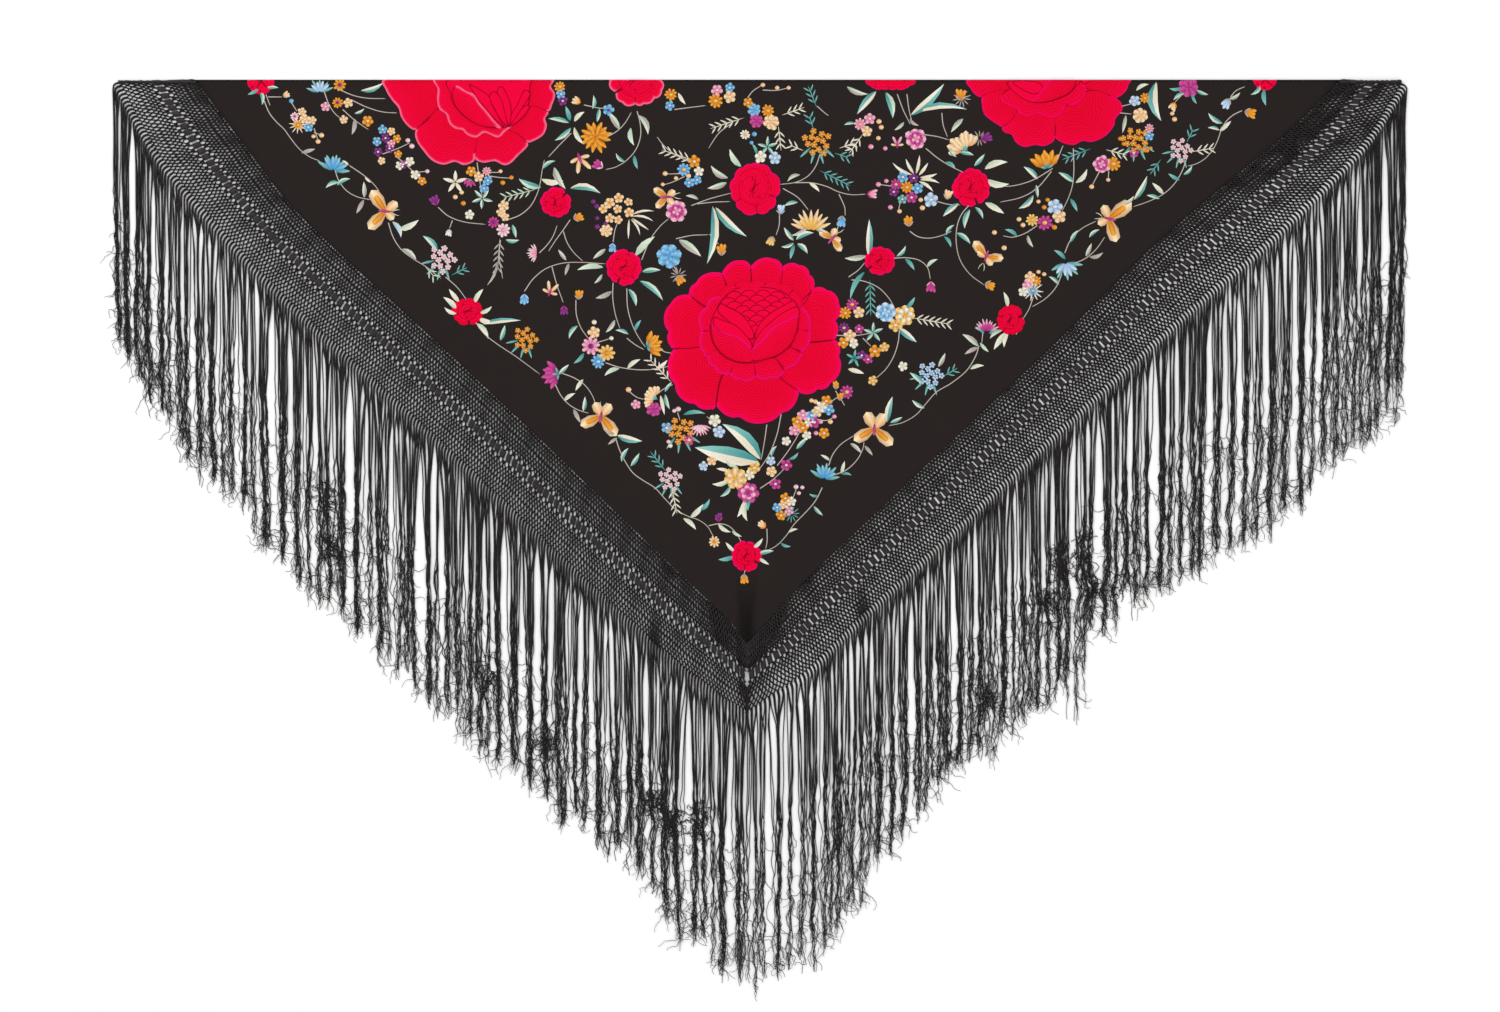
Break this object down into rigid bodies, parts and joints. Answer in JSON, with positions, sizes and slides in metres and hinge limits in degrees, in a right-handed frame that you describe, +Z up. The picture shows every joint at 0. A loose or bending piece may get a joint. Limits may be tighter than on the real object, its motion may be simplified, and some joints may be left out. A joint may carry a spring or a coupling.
{
  "type": "folded embroidered shawl",
  "caption": "Black silk shawl folded on its diagonal and laid flat, with embroidered roses, a wide knotted net border and a long silk fringe.",
  "frame": {"origin": "centre of the shawl's box, on the surface that it lies on", "axes": "+X along the fold, to the right in the picture, +Y from the point to the fold, +Z up"},
  "size_m": [2.2719, 1.6197, 0.011],
  "materials": {
    "crepe": "matt crepe",
    "net": "soft silk sheen",
    "fringe": "soft silk sheen",
    "red_silk": "satin"
  },
  "bodies": {
    "root": {"cloth": "crepe", "net_left": "net", "net_right": "net", "fringe_front_left": "fringe", "fringe_front_right": "fringe", "fringe_back_left": "fringe", "fringe_back_right": "fringe", "rose_centre": "red_silk", "rose_fold_left": "red_silk", "rose_fold_right": "red_silk", "rose_fold_small": "red_silk", "rose_upper_centre": "red_silk", "rose_left_inner": "red_silk", "rose_left_outer": "red_silk", "rose_right_inner": "red_silk", "rose_right_outer": "red_silk", "rose_border_left": "red_silk", "rose_border_right": "red_silk", "rose_point": "red_silk"}
  },
  "joints": []
}
